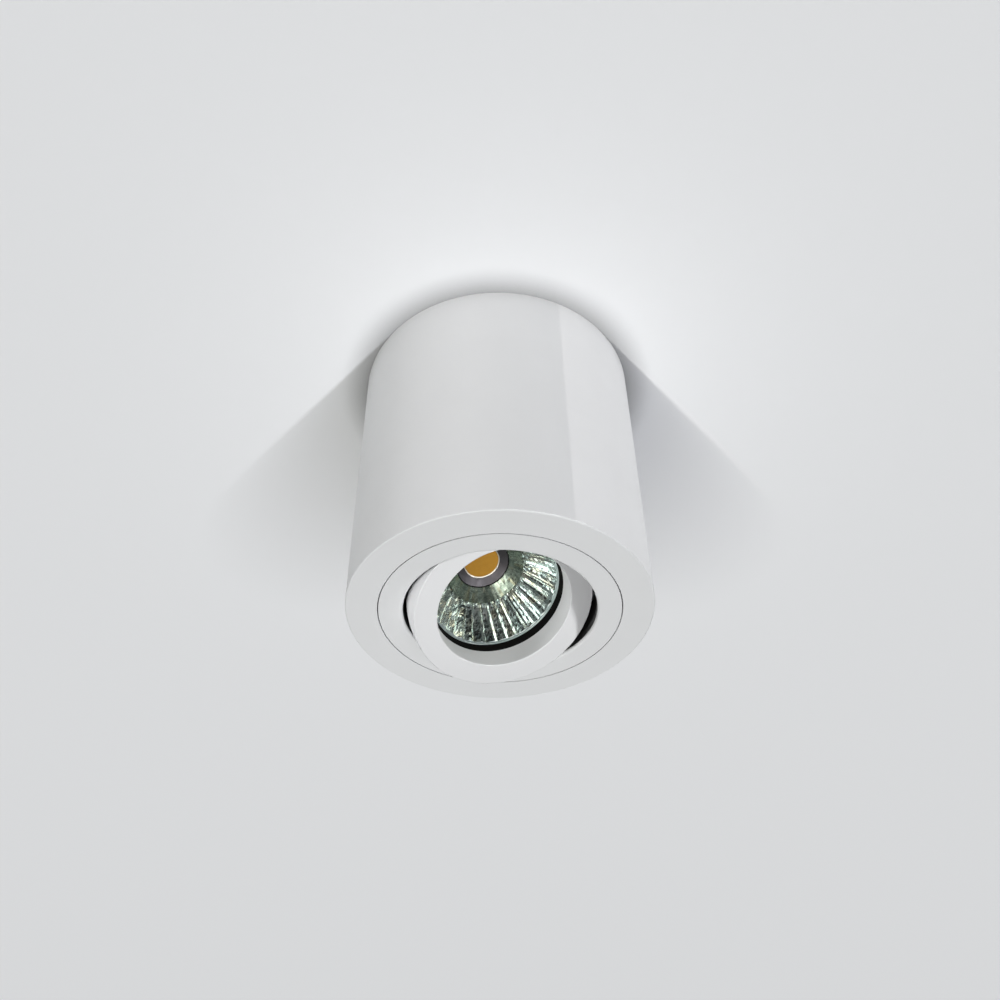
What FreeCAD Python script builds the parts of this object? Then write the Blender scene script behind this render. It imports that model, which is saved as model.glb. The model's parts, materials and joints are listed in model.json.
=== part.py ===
import FreeCAD, Part
import math
import os

import Sketcher

# A surface mounted ceiling spotlight: a plain round housing with a lamp that swivels and tilts in it.
# Millimetres. Z = 0 is the ceiling, and the light hangs below it, along -Z. At azimuth -90 degrees stands
# the viewer of the photograph. Pieces that tilt are drawn about the tilt pivot, with +Z to the lamp's back
# and the tilt axis along X, and are then turned and tilted to where the photograph shows them.

SIZES = (
    ("housing_diameter", 105.0, "outside of the round housing"),
    ("housing_height", 110.0, "ceiling to the flat lower end"),
    ("housing_wall", 3.0, "wall of the housing tube"),
    ("housing_edge_round", 0.5, "rounding of the lower outer edge"),
    ("flange_thickness", 5.0, "inward flange at the lower end"),
    ("mouth_diameter", 83.5, "round mouth in the flange"),
    ("mouth_depth", 3.0, "from the lower end to the ledge in the mouth"),
    ("ledge_width", 1.95, "ledge that the swivel ring bears on"),
    ("set_screw_diameter", 4.0, "screws through the housing wall"),
    ("set_screw_length", 8.0, "length of those screws"),
    ("set_screw_sink", 0.3, "how far they lie below the outer face"),
    ("set_screw_drop", 9.0, "ceiling to the axis of those screws"),
    ("set_screw_socket", 2.0, "hexagon socket across flats"),
    ("thread_clearance", 0.04, "radial clearance of a screw in its hole"),
    ("bracket_clearance", 0.5, "bracket plate inside the housing"),
    ("bracket_thickness", 1.5, "pressed steel of the bracket"),
    ("bracket_dish_diameter", 28.0, "dished middle of the bracket"),
    ("bracket_dish_depth", 2.5, "depth of the dish"),
    ("ear_width", 14.0, "ears bent down from the bracket"),
    ("ear_length", 16.0, "ceiling to the end of an ear"),
    ("ear_gap", 2.4, "ear to the inside of the housing"),
    ("ear_bend", 0.8, "inside radius of the bend"),
    ("ear_root", 4.0, "flat stretch of an ear before its bend"),
    ("relief_gap", 0.6, "slit beside an ear"),
    ("slot_spacing", 60.0, "between the two ceiling screws"),
    ("slot_width", 4.6, "slots for the ceiling screws"),
    ("slot_length", 12.0, "slots for the ceiling screws, end to end"),
    ("cable_hole_diameter", 18.0, "hole in the dish for the grommet"),
    ("grommet_bore", 8.0, "bore for the supply cable"),
    ("grommet_lip", 1.6, "thickness and overhang of the grommet's lips"),
    ("grommet_nose", 3.4, "tapered nose of the grommet"),
    ("grommet_nose_wall", 2.5, "wall at the end of the nose"),
    ("soft_clearance", 0.05, "grommet in the plate"),
    ("block_offset", 30.0, "terminal block from the middle"),
    ("block_pitch", 9.5, "between the poles of the terminal block"),
    ("block_length", 30.0, "terminal block"),
    ("block_width", 16.0, "terminal block"),
    ("block_depth", 9.0, "terminal block without its towers"),
    ("tower_diameter", 6.6, "round towers over the clamp screws"),
    ("tower_depth", 3.0, "height of the towers"),
    ("clamp_spacing", 8.0, "between the two clamp screws of a pole"),
    ("clamp_diameter", 2.8, "clamp screws"),
    ("clamp_head_diameter", 4.4, "clamp screw heads"),
    ("clamp_head_depth", 1.8, "clamp screw heads"),
    ("clamp_gap", 0.7, "clamp screw end above the wire"),
    ("insert_diameter", 5.0, "brass inserts"),
    ("insert_bore", 3.4, "wire hole through an insert"),
    ("insert_length", 13.0, "brass inserts"),
    ("insert_depth", 5.0, "bracket plate to the axis of the inserts"),
    ("block_screw_diameter", 2.9, "screws that fix the terminal block"),
    ("block_screw_head", 5.0, "heads of those screws"),
    ("block_screw_head_depth", 1.8, "heads of those screws"),
    ("block_screw_end", 0.2, "screw end below the ceiling face"),
    ("earth_offset", 22.0, "earth screw from the middle, both ways"),
    ("earth_diameter", 4.0, "earth screw"),
    ("earth_head_diameter", 7.6, "earth screw head"),
    ("earth_head_depth", 2.6, "earth screw head"),
    ("earth_reach", 3.0, "wire room between the washer and the head"),
    ("washer_diameter", 9.0, "earth washer"),
    ("washer_thickness", 0.8, "earth washer"),
    ("swivel_gap", 0.4, "dark line between the housing and the swivel ring"),
    ("swivel_bearing_gap", 0.05, "swivel ring to the ledge"),
    ("hub_clearance", 0.5, "hub of the swivel ring inside the ledge"),
    ("hub_height", 13.0, "lower end to the top of the hub"),
    ("hub_inner_diameter", 68.8, "inside of the hub"),
    ("throat_diameter", 66.2, "opening of the swivel ring"),
    ("throat_round", 1.0, "rounding of that opening's lower edge"),
    ("throat_land", 3.5, "lower end to the top of the throat"),
    ("spring_width", 8.0, "leaf springs"),
    ("spring_thickness", 0.5, "leaf springs"),
    ("spring_reach", 3.3, "leaf spring beyond the ledge"),
    ("spring_foot_width", 1.2, "where a leaf spring bears on the ledge"),
    ("spring_knee", 4.2, "height of the upright part of a spring"),
    ("spring_bearing_gap", 0.1, "spring foot above the ledge"),
    ("spring_start", 0.8, "spring end inside the hub's edge"),
    ("spring_lead", 150.0, "angle from the tilt axis to the first spring"),
    ("spring_screw_diameter", 2.5, "screws that hold the springs"),
    ("spring_screw_head", 4.2, "heads of those screws"),
    ("spring_screw_head_depth", 1.5, "heads of those screws"),
    ("spring_screw_length", 5.0, "below the head"),
    ("pivot_rise", 6.9, "tilt pivot above the lower end"),
    ("tilt_heading", -137.64, "azimuth of the tilt axis"),
    ("tilt_angle", 23.4, "angle of the tilt in the photograph"),
    ("ball_diameter", 64.4, "rounded outside of the tilt ring"),
    ("face_offset", 6.6, "pivot to the front face of the tilt ring"),
    ("ring_back", 12.0, "pivot to the back of the tilt ring"),
    ("ring_edge_round", 0.3, "edges of the front face"),
    ("opening_diameter", 47.2, "front opening of the tilt ring"),
    ("lip_depth", 8.28, "depth of that opening"),
    ("lamp_clearance", 0.4, "lamp in the tilt ring"),
    ("pin_diameter", 3.0, "pivot pins"),
    ("pin_running_gap", 0.05, "radial clearance of a pivot pin"),
    ("pin_press_gap", 0.01, "pivot pin in the tilt ring"),
    ("pin_grip", 4.5, "depth of a pin in the tilt ring"),
    ("pin_head_diameter", 5.2, "pivot pin heads"),
    ("pin_head_depth", 1.5, "pivot pin heads"),
    ("pin_head_sink", 0.2, "pin heads below the hub's outside"),
    ("bush_diameter", 6.8, "nylon bushes on the pivot pins"),
    ("bush_gap", 0.1, "bush to the hub"),
    ("bush_seat", 0.7, "depth of the flat seat for a bush"),
    ("gasket_thickness", 3.14, "black ring in front of the lamp"),
    ("gasket_inner_diameter", 46.2, "opening of the black ring at the lamp"),
    ("gasket_flare", 0.6, "how much wider the black ring is in front"),
    ("gasket_clearance", 0.1, "black ring in its bore"),
    ("clip_wire", 1.6, "wire of the retaining clip"),
    ("clip_opening", 40.0, "open angle of the clip"),
    ("clip_overlap", 0.5, "how far the clip stands over the lamp's rim"),
    ("clip_gap", 0.05, "clip to its groove and to the lamp"),
    ("lamp_diameter", 50.0, "lamp, a standard size"),
    ("lamp_rim", 2.6, "thickness of the lamp's rim"),
    ("rim_step", 1.1, "shoulder behind the rim"),
    ("bowl_edge_diameter", 46.6, "reflector bowl at its front edge"),
    ("bowl_edge_depth", 0.35, "rim to the front edge of the bowl"),
    ("bowl_curve", 56.5, "curve of the bowl's inside"),
    ("glass_curve", 60.0, "curve of the bowl's outside"),
    ("neck_depth", 17.35, "rim to where the bowl meets the neck"),
    ("neck_bore", 19.8, "inside of the neck"),
    ("neck_wall", 2.3, "glass of the neck"),
    ("neck_start", 19.8, "rim to the outside of the neck"),
    ("neck_end", 26.2, "rim to the end of the neck"),
    ("chip_diameter", 12.56, "yellow emitter"),
    ("chip_depth", 19.13, "rim to the emitter"),
    ("chip_thickness", 1.0, "emitter"),
    ("collar_diameter", 19.1, "metal collar round the emitter"),
    ("collar_depth", 17.6, "rim to the front edge of the collar"),
    ("collar_gap", 0.1, "collar round the emitter"),
    ("board_thickness", 1.6, "metal board behind the emitter"),
    ("sink_diameter", 19.4, "heat sink in the neck"),
    ("sink_end", 32.0, "rim to the end of the heat sink"),
    ("cap_diameter", 28.4, "base cap of the lamp"),
    ("cap_start", 21.4, "rim to the front of the cap"),
    ("cap_lead", 0.6, "taper at the front of the cap"),
    ("cap_neck_gap", 0.2, "cap round the neck"),
    ("cap_shoulder", 37.4, "rim to where the cap narrows"),
    ("cap_boss_diameter", 19.6, "narrow end of the cap"),
    ("cap_boss_start", 41.6, "rim to the narrow end"),
    ("cap_cavity_end", 37.2, "rim to the end of the cavity"),
    ("lamp_length", 46.0, "rim to the back of the cap"),
    ("driver_thickness", 1.4, "circuit board of the lamp"),
    ("driver_gap", 0.2, "board to the heat sink and to the cap"),
    ("coil_diameter", 6.0, "largest component on the board"),
    ("lamp_pin_spacing", 10.0, "between the lamp's two pins"),
    ("lamp_pin_diameter", 3.0, "neck of a lamp pin"),
    ("lamp_pin_head", 5.0, "head of a lamp pin"),
    ("lamp_pin_neck", 4.0, "cap to the head of a pin"),
    ("lamp_pin_head_depth", 2.5, "head of a lamp pin"),
    ("holder_gap", 0.25, "lamp to the holder"),
    ("holder_diameter", 30.0, "rounded ends of the lampholder"),
    ("holder_width", 20.0, "across the flats of the lampholder"),
    ("holder_front", 3.35, "front wall of the lampholder"),
    ("holder_depth", 8.95, "lampholder without its cover"),
    ("holder_cover", 2.4, "cover of the lampholder"),
    ("twist_angle", 15.0, "angle between lock and release"),
    ("slot_clearance", 0.3, "lamp pin in its slot"),
    ("entry_clearance", 0.2, "lamp pin head in its way in"),
    ("contact_thickness", 0.5, "contacts"),
    ("contact_gap", 0.15, "contact to a lamp pin"),
    ("contact_diameter", 4.4, "contacts"),
    ("contact_post", 1.8, "tails of the contacts"),
    ("contact_tail", 2.0, "tails beyond the cover"),
    ("rivet_spacing", 22.8, "between the rivets of the lampholder"),
    ("rivet_diameter", 2.4, "rivets"),
    ("rivet_head", 4.0, "rivet heads"),
    ("rivet_head_depth", 0.8, "rivet heads"),
    ("slot_cut_width", 0.7, "screwdriver slots"),
    ("slot_cut_depth", 0.6, "screwdriver slots"),
)

SPRINGS = 3
POLES = 3

os.makedirs("parts", exist_ok=True)
doc = FreeCAD.newDocument("ceiling_spotlight")
sheet = doc.addObject("Spreadsheet::Sheet", "Sizes")
for line, (name, value, meaning) in enumerate(SIZES, start=1):
    sheet.set(f"A{line}", meaning)
    sheet.set(f"B{line}", str(value))
    sheet.setAlias(f"B{line}", name)
doc.recompute()


class Size:
    """A length or an angle: its number now, and the formula of the sheet's sizes that gives it."""

    def __init__(self, number, text):
        self.number = number
        self.text = text

    def __add__(self, other):
        other = plain(other)
        return Size(self.number + other.number, f"({self.text} + {other.text})")

    def __radd__(self, other):
        return plain(other) + self

    def __sub__(self, other):
        other = plain(other)
        return Size(self.number - other.number, f"({self.text} - {other.text})")

    def __rsub__(self, other):
        return plain(other) - self

    def __mul__(self, other):
        other = plain(other)
        return Size(self.number * other.number, f"({self.text} * {other.text})")

    __rmul__ = __mul__

    def __truediv__(self, other):
        other = plain(other)
        return Size(self.number / other.number, f"({self.text} / {other.text})")

    def __neg__(self):
        return Size(-self.number, f"(0 - {self.text})")


def plain(value):
    """A bare number as a size, or a size as it is."""
    return value if isinstance(value, Size) else Size(value, repr(value))


def root(value):
    return Size(math.sqrt(value.number), f"sqrt({value.text})")


def cosine(angle):
    angle = plain(angle)
    return Size(math.cos(math.radians(angle.number)), f"cos({angle.text})")


def sine(angle):
    angle = plain(angle)
    return Size(math.sin(math.radians(angle.number)), f"sin({angle.text})")


def arcsine(ratio):
    """The angle in degrees whose sine is the ratio."""
    return Size(math.degrees(math.asin(ratio.number)), f"(asin({ratio.text}) / 1 deg)")


class Named:
    """The sheet's sizes as attributes."""

    def __init__(self, rows):
        for name, value, _ in rows:
            setattr(self, name, Size(value, f"Sizes.{name}"))


S = Named(SIZES)


# ---- places that several pieces share ----

housing_radius = S.housing_diameter / 2
housing_inside = housing_radius - S.housing_wall
lower_end = -S.housing_height
mouth_radius = S.mouth_diameter / 2
ledge_radius = mouth_radius - S.ledge_width
ledge_under = lower_end + S.mouth_depth
ledge_top = lower_end + S.flange_thickness
hub_radius = ledge_radius - S.hub_clearance
hub_inside = S.hub_inner_diameter / 2
hub_top = lower_end + S.hub_height
hub_middle = (hub_radius + hub_inside) / 2
pivot_level = lower_end + S.pivot_rise
ear_outside = housing_inside - S.ear_gap
ear_inside = ear_outside - S.bracket_thickness
ball_radius = S.ball_diameter / 2
bush_inside = ball_radius - S.bush_seat
bush_outside = hub_inside + S.bush_seat - S.bush_gap
pin_head_face = hub_radius - S.pin_head_sink
pin_shoulder = pin_head_face - S.pin_head_depth
lip_back = S.lip_depth - S.face_offset
lamp_rim_face = lip_back + S.gasket_thickness
lamp_rim_back = lamp_rim_face + S.lamp_rim
lamp_radius = S.lamp_diameter / 2
lamp_bore = lamp_radius + S.lamp_clearance
clip_middle = lamp_rim_back + S.clip_gap + S.clip_wire / 2
clip_radius = lamp_radius - S.clip_overlap + S.clip_wire / 2
emitter_face = lamp_rim_face + S.chip_depth
emitter_back = emitter_face + S.chip_thickness
board_back = emitter_back + S.board_thickness
cap_cavity = S.neck_bore / 2 + S.neck_wall + S.cap_neck_gap
cap_back = lamp_rim_face + S.lamp_length
pin_head_start = cap_back + S.lamp_pin_neck
pin_head_end = pin_head_start + S.lamp_pin_head_depth
holder_face = cap_back + S.holder_gap
holder_back = holder_face + S.holder_depth
holder_end = holder_back + S.holder_cover
block_under = -(S.bracket_thickness + S.block_depth)
tower_under = block_under - S.tower_depth
insert_level = -(S.bracket_thickness + S.insert_depth)


# ---- ways of making a solid ----

finished = []


def finish(thing, label, tilts=False):
    """Names a finished sub-part, and puts it on the tilted pivot if it tilts."""
    thing.Label = label
    if tilts:
        put(thing, z=pivot_level, yaw=S.tilt_heading, roll=S.tilt_angle)
    finished.append(thing)
    return thing


def bind(thing, name, value):
    thing.setExpression(name, plain(value).text)


def put(thing, x=0, y=0, z=0, yaw=0, pitch=0, roll=0):
    """Places an object: a move, and turns about Z, Y and X."""
    move = "; ".join(plain(part).text for part in (x, y, z))
    turns = "; ".join(plain(part).text for part in (yaw, pitch, roll))
    thing.setExpression("Placement", f"placement(vector({move}); rotation({turns}))")
    return thing


def origin_plane(body, role):
    return next(item for item in body.Origin.OriginFeatures if item.Role == role)


def arc_between(start, end, radius, bulge):
    """The arc from start to end. A bulge of 1 has its centre to the left, and of -1 to the right."""
    across = end - start
    half = across.Length / 2
    left = FreeCAD.Vector(-across.y, across.x, 0).normalize()
    centre = (start + end) / 2 + left * bulge * math.sqrt(max(radius ** 2 - half ** 2, 0))
    ends = [math.atan2(point.y - centre.y, point.x - centre.x) for point in (start, end)]
    if bulge < 0:
        ends.reverse()
    circle = Part.Circle(centre, FreeCAD.Vector(0, 0, 1), radius)
    return Part.ArcOfCircle(circle, ends[0], ends[1])


def outline(body, role, corners):
    """A closed sketch through the corners (across, up). A corner may add (radius, bulge) of its arc."""
    sketch = body.newObject("Sketcher::SketchObject", "outline")
    sketch.AttachmentSupport = [(origin_plane(body, role), "")]
    sketch.MapMode = "FlatFace"
    points = [FreeCAD.Vector(plain(across).number, plain(up).number, 0) for across, up, *_ in corners]
    starts = []
    for place, corner in enumerate(corners):
        here, there = points[place], points[(place + 1) % len(points)]
        if len(corner) == 2:
            sketch.addGeometry(Part.LineSegment(here, there))
            starts.append((1, 2))
        else:
            radius, bulge = corner[2]
            sketch.addGeometry(arc_between(here, there, plain(radius).number, bulge))
            starts.append((1, 2) if bulge > 0 else (2, 1))
            bind_constraint(sketch, Sketcher.Constraint("Radius", place, plain(radius).number), radius)
    for place in range(len(corners)):
        after = (place + 1) % len(corners)
        joint = Sketcher.Constraint("Coincident", place, starts[place][1], after, starts[after][0])
        sketch.addConstraint(joint)
    for place, (across, up, *_) in enumerate(corners):
        for kind, axis, value in (("DistanceX", -2, plain(across)), ("DistanceY", -1, plain(up))):
            if value.text in ("0", "0.0"):
                sketch.addConstraint(Sketcher.Constraint("PointOnObject", place, starts[place][0], axis))
            else:
                rule = Sketcher.Constraint(kind, -1, 1, place, starts[place][0], value.number)
                bind_constraint(sketch, rule, value)
    return sketch


def bind_constraint(sketch, rule, value):
    place = sketch.addConstraint(rule)
    sketch.setExpression(f"Constraints[{place}]", plain(value).text)


def turned(name, corners):
    """A solid of revolution about Z, from an outline of (radius, height) corners."""
    body = doc.addObject("PartDesign::Body", name)
    sketch = outline(body, "XZ_Plane", corners)
    feature = body.newObject("PartDesign::Revolution", "turning")
    feature.Profile = sketch
    feature.ReferenceAxis = (sketch, ["V_Axis"])
    feature.Angle = 360
    sketch.Visibility = False
    doc.recompute()
    return body


def folded(name, corners, width):
    """Sheet metal: its edge, an outline of (X, Z) corners, widened evenly to both sides of Y = 0."""
    body = doc.addObject("PartDesign::Body", name)
    sketch = outline(body, "XZ_Plane", corners)
    feature = body.newObject("PartDesign::Pad", "width")
    feature.Profile = sketch
    bind(feature, "Length", width)
    feature.Midplane = True
    doc.recompute()
    return body


def round_edges(body, radius, places):
    """Rounds the circular edges that lie at the given (radius, height) places."""
    base = body.Tip
    names = []
    for number, edge in enumerate(base.Shape.Edges, start=1):
        for across, level in places:
            curve = edge.Curve
            if isinstance(curve, Part.Circle) and abs(curve.Radius - across.number) < 0.001:
                if abs(curve.Center.z - level.number) < 0.001:
                    names.append(f"Edge{number}")
    if len(names) != len(places):
        raise ValueError(f"{body.Name}: {len(places)} edges to round, and {len(names)} found")
    feature = body.newObject("PartDesign::Fillet", "rounding")
    feature.Base = (base, names)
    bind(feature, "Radius", radius)
    doc.recompute()
    return body


def cylinder(radius, height, **place):
    rod = doc.addObject("Part::Cylinder", "rod")
    bind(rod, "Radius", radius)
    bind(rod, "Height", height)
    return put(rod, **place)


def ball(radius, **place):
    sphere = doc.addObject("Part::Sphere", "ball")
    bind(sphere, "Radius", radius)
    return put(sphere, **place)


def box(length, width, height, x=0, y=0, z=0):
    """A box centred on x and y, standing on z."""
    block = doc.addObject("Part::Box", "block")
    bind(block, "Length", length)
    bind(block, "Width", width)
    bind(block, "Height", height)
    return put(block, x=x - plain(length) / 2, y=y - plain(width) / 2, z=z)


def prism(across_flats, height, **place):
    bar = doc.addObject("Part::Prism", "hexagon")
    bar.Polygon = 6
    bind(bar, "Circumradius", across_flats / math.sqrt(3))
    bind(bar, "Height", height)
    return put(bar, **place)


def fuse(*things):
    joined = doc.addObject("Part::MultiFuse", "joined")
    joined.Shapes = list(things)
    return joined


def cut(base, *tools):
    taken = doc.addObject("Part::Cut", "taken")
    taken.Base = base
    taken.Tool = fuse(*tools) if len(tools) > 1 else tools[0]
    return taken


def common(one, other):
    shared = doc.addObject("Part::Common", "shared")
    shared.Base = one
    shared.Tool = other
    return shared


def round_ended(length, width, height, x=0, y=0, z=0):
    """A slot's shape along Y, with round ends."""
    straight = length - width
    ends = [cylinder(width / 2, height, x=x, y=y + straight / 2 * side, z=z) for side in (-1, 1)]
    return fuse(box(width, straight, height, x, y, z), *ends)


# ---- ceiling bracket and what it carries ----


def ceiling_bracket():
    """A round plate with a dished middle, two bent ears, two slots and the holes of its screws."""
    gauge = S.bracket_thickness
    plate_radius = housing_inside - S.bracket_clearance
    dish = S.bracket_dish_diameter / 2
    depth = S.bracket_dish_depth
    slant = gauge * math.tan(math.pi / 8)
    plate = turned("bracket_plate", [
        (S.cable_hole_diameter / 2, -depth),
        (dish, -depth),
        (dish + depth, 0),
        (plate_radius, 0),
        (plate_radius, -gauge),
        (dish + depth + slant, -gauge),
        (dish + slant, -depth - gauge),
        (S.cable_hole_diameter / 2, -depth - gauge),
    ])
    inner_bend, outer_bend = S.ear_bend, S.ear_bend + gauge
    bend_start = ear_inside - S.ear_bend
    root = bend_start - S.ear_root
    relief = S.ear_width + 2 * S.relief_gap
    notch_depth = plate_radius - bend_start
    ears = []
    notches = []
    for yaw in (0, 180):
        ear = folded("bracket_ear", [
            (root, 0),
            (bend_start, 0, (outer_bend, -1)),
            (ear_outside, -outer_bend),
            (ear_outside, -S.ear_length),
            (ear_inside, -S.ear_length),
            (ear_inside, -outer_bend, (inner_bend, 1)),
            (bend_start, -gauge),
            (root, -gauge),
        ], S.ear_width)
        hole = cylinder(S.set_screw_diameter / 2 + S.thread_clearance, S.ear_gap + 2 * gauge,
                        x=ear_inside - gauge, z=-S.set_screw_drop, pitch=90)
        ears.append(put(cut(ear, hole), yaw=yaw))
        side = 1 if yaw == 0 else -1
        middle = (bend_start + notch_depth / 2) * side
        notches.append(box(notch_depth, relief, 3 * gauge, x=middle, z=-2 * gauge))
    slots = [round_ended(S.slot_length, S.slot_width, 3 * gauge, y=S.slot_spacing / 2 * side, z=-2 * gauge)
             for side in (-1, 1)]
    holes = [cylinder(S.block_screw_diameter / 2 + S.thread_clearance, 3 * gauge, x=-S.block_offset,
                      y=S.block_pitch / 2 * side, z=-2 * gauge) for side in (-1, 1)]
    holes.append(cylinder(S.earth_diameter / 2 + S.thread_clearance, 3 * gauge, x=S.earth_offset,
                          y=-S.earth_offset, z=-2 * gauge))
    finish(fuse(cut(plate, *notches, *slots, *holes), *ears), "ceiling_bracket")


def cable_grommet():
    hole = S.cable_hole_diameter / 2
    lip = hole + S.grommet_lip
    plate_top = -S.bracket_dish_depth
    plate_under = plate_top - S.bracket_thickness
    nose = plate_under - S.grommet_lip - S.grommet_nose
    bore = S.grommet_bore / 2
    finish(turned("grommet", [
        (bore, plate_top + S.grommet_lip),
        (lip, plate_top + S.grommet_lip),
        (lip, plate_top),
        (hole - S.soft_clearance, plate_top),
        (hole - S.soft_clearance, plate_under),
        (lip, plate_under),
        (lip, plate_under - S.grommet_lip),
        (bore + S.grommet_nose_wall, nose),
        (bore, nose),
    ]), "cable_grommet")


def pole_places():
    """Where each clamp screw of the terminal block stands: (x, y)."""
    for pole in range(POLES):
        y = S.block_pitch * (pole - (POLES - 1) / 2)
        for side in (-1, 1):
            yield -S.block_offset + S.clamp_spacing / 2 * side, y


def pole_rows():
    return [S.block_pitch * (pole - (POLES - 1) / 2) for pole in range(POLES)]


def terminal_block():
    """The moulded block: a bar with towers, wire holes along X and screw holes from below."""
    bar = box(S.block_width, S.block_length, S.block_depth, x=-S.block_offset, z=block_under)
    towers = [cylinder(S.tower_diameter / 2, S.tower_depth, x=x, y=y, z=tower_under)
              for x, y in pole_places()]
    tunnels = [cylinder(S.insert_diameter / 2 + S.thread_clearance, S.block_width * 2,
                        x=-S.block_offset - S.block_width, y=y, z=insert_level, pitch=90)
               for y in pole_rows()]
    shafts = [cylinder(S.clamp_head_diameter / 2 + 2 * S.thread_clearance, insert_level - tower_under,
                       x=x, y=y, z=tower_under) for x, y in pole_places()]
    fixings = [cylinder(S.block_screw_diameter / 2 + S.thread_clearance, S.block_depth * 2,
                        x=-S.block_offset, y=S.block_pitch / 2 * side, z=tower_under) for side in (-1, 1)]
    finish(cut(fuse(bar, *towers), *tunnels, *shafts, *fixings), "terminal_block")


def terminal_inserts():
    """Brass tubes, each with two threaded holes from below."""
    tubes = []
    for y in pole_rows():
        start = -S.block_offset - S.insert_length / 2
        tube = cylinder(S.insert_diameter / 2, S.insert_length, x=start, y=y, z=insert_level, pitch=90)
        wire = cylinder(S.insert_bore / 2, S.insert_length, x=start, y=y, z=insert_level, pitch=90)
        threads = [cylinder(S.clamp_diameter / 2 + S.thread_clearance, S.insert_diameter,
                            x=-S.block_offset + S.clamp_spacing / 2 * side, y=y,
                            z=insert_level - S.insert_diameter) for side in (-1, 1)]
        tubes.append(cut(tube, wire, *threads))
    finish(fuse(*tubes), "terminal_inserts")


def slotted_screw(radius, head_radius, head_depth, length, x, y, z):
    """A screw that points up from below: its head's seat lies at z."""
    shank = cylinder(radius, length, x=x, y=y, z=z)
    head = cylinder(head_radius, head_depth, x=x, y=y, z=z - head_depth)
    groove = box(3 * head_radius, S.slot_cut_width, S.slot_cut_depth, x=x, y=y, z=z - head_depth)
    return cut(fuse(shank, head), groove)


def terminal_clamp_screws():
    seat = insert_level - S.insert_diameter / 2 - S.clamp_gap
    reach = S.clamp_gap + S.insert_diameter / 2
    screws = [slotted_screw(S.clamp_diameter / 2, S.clamp_head_diameter / 2, S.clamp_head_depth,
                            reach, x, y, seat) for x, y in pole_places()]
    finish(fuse(*screws), "terminal_clamp_screws")


def terminal_fixing_screws():
    length = -block_under - S.block_screw_end
    screws = [slotted_screw(S.block_screw_diameter / 2, S.block_screw_head / 2, S.block_screw_head_depth,
                            length, -S.block_offset, S.block_pitch / 2 * side, block_under)
              for side in (-1, 1)]
    finish(fuse(*screws), "terminal_fixing_screws")


def earth_screw_and_washer():
    gauge = S.bracket_thickness
    x, y = S.earth_offset, -S.earth_offset
    seat = -gauge - S.washer_thickness - S.earth_reach
    screw = slotted_screw(S.earth_diameter / 2, S.earth_head_diameter / 2, S.earth_head_depth,
                          -seat - S.block_screw_end, x, y, seat)
    finish(screw, "earth_screw")
    disc = cylinder(S.washer_diameter / 2, S.washer_thickness, x=x, y=y, z=-gauge - S.washer_thickness)
    hole = cylinder(S.earth_diameter / 2 + S.thread_clearance, 3 * S.washer_thickness, x=x, y=y,
                    z=-gauge - 2 * S.washer_thickness)
    finish(cut(disc, hole), "earth_washer")


# ---- housing ----


def housing():
    """The tube, with the inward flange, the mouth and the ledge at its lower end."""
    shell = turned("housing_tube", [
        (housing_radius, 0),
        (housing_inside, 0),
        (housing_inside, ledge_top),
        (ledge_radius, ledge_top),
        (ledge_radius, ledge_under),
        (mouth_radius, ledge_under),
        (mouth_radius, lower_end),
        (housing_radius, lower_end),
    ])
    round_edges(shell, S.housing_edge_round, [(housing_radius, lower_end)])
    holes = [cylinder(S.set_screw_diameter / 2 + S.thread_clearance, 2 * housing_inside,
                      z=-S.set_screw_drop, pitch=turn) for turn in (90, -90)]
    finish(cut(shell, *holes), "housing")


def housing_set_screws():
    """Headless screws through the wall, with their ends in the ears of the bracket."""
    screws = []
    outer_end = housing_radius - S.set_screw_sink
    for yaw in (0, 180):
        rod = cylinder(S.set_screw_diameter / 2, S.set_screw_length, x=outer_end - S.set_screw_length,
                       z=-S.set_screw_drop, pitch=90)
        socket = prism(S.set_screw_socket, S.set_screw_length / 2, x=outer_end - S.set_screw_length / 4,
                       z=-S.set_screw_drop, pitch=90)
        screws.append(put(cut(rod, socket), yaw=yaw))
    finish(fuse(*screws), "housing_set_screws")


# ---- swivel ring and what it carries ----


def spring_angle(number):
    return S.tilt_heading + S.spring_lead + number * 360 / SPRINGS


def swivel_ring():
    """The flush ring in the mouth, with the hub that carries the tilt pivots and the springs."""
    throat = S.throat_diameter / 2
    rim = mouth_radius - S.swivel_gap
    rim_top = ledge_under - S.swivel_bearing_gap
    land_top = lower_end + S.throat_land
    ring = turned("swivel_blank", [
        (throat, lower_end),
        (rim, lower_end),
        (rim, rim_top),
        (hub_radius, rim_top),
        (hub_radius, hub_top),
        (hub_inside, hub_top),
        (hub_inside, land_top + (hub_inside - throat)),
        (throat, land_top),
    ])
    round_edges(ring, S.throat_round, [(throat, lower_end)])
    tools = []
    for yaw in (S.tilt_heading, S.tilt_heading + 180):
        bore = cylinder(S.pin_diameter / 2 + S.pin_running_gap, hub_radius, pitch=90)
        seat = cylinder(S.bush_diameter / 2 + 3 * S.pin_running_gap, hub_inside + S.bush_seat, pitch=90)
        recess = cylinder(S.pin_head_diameter / 2 + S.bush_gap, hub_radius,
                          x=pin_shoulder - S.pin_running_gap, pitch=90)
        tools.append(put(fuse(bore, seat, recess), z=pivot_level, yaw=yaw))
    for number in range(SPRINGS):
        angle = spring_angle(number)
        tools.append(cylinder(S.spring_screw_diameter / 2 + S.thread_clearance, 2 * S.spring_screw_length,
                              x=hub_middle * cosine(angle), y=hub_middle * sine(angle),
                              z=hub_top - S.spring_screw_length))
    finish(cut(ring, *tools), "swivel_ring")


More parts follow.
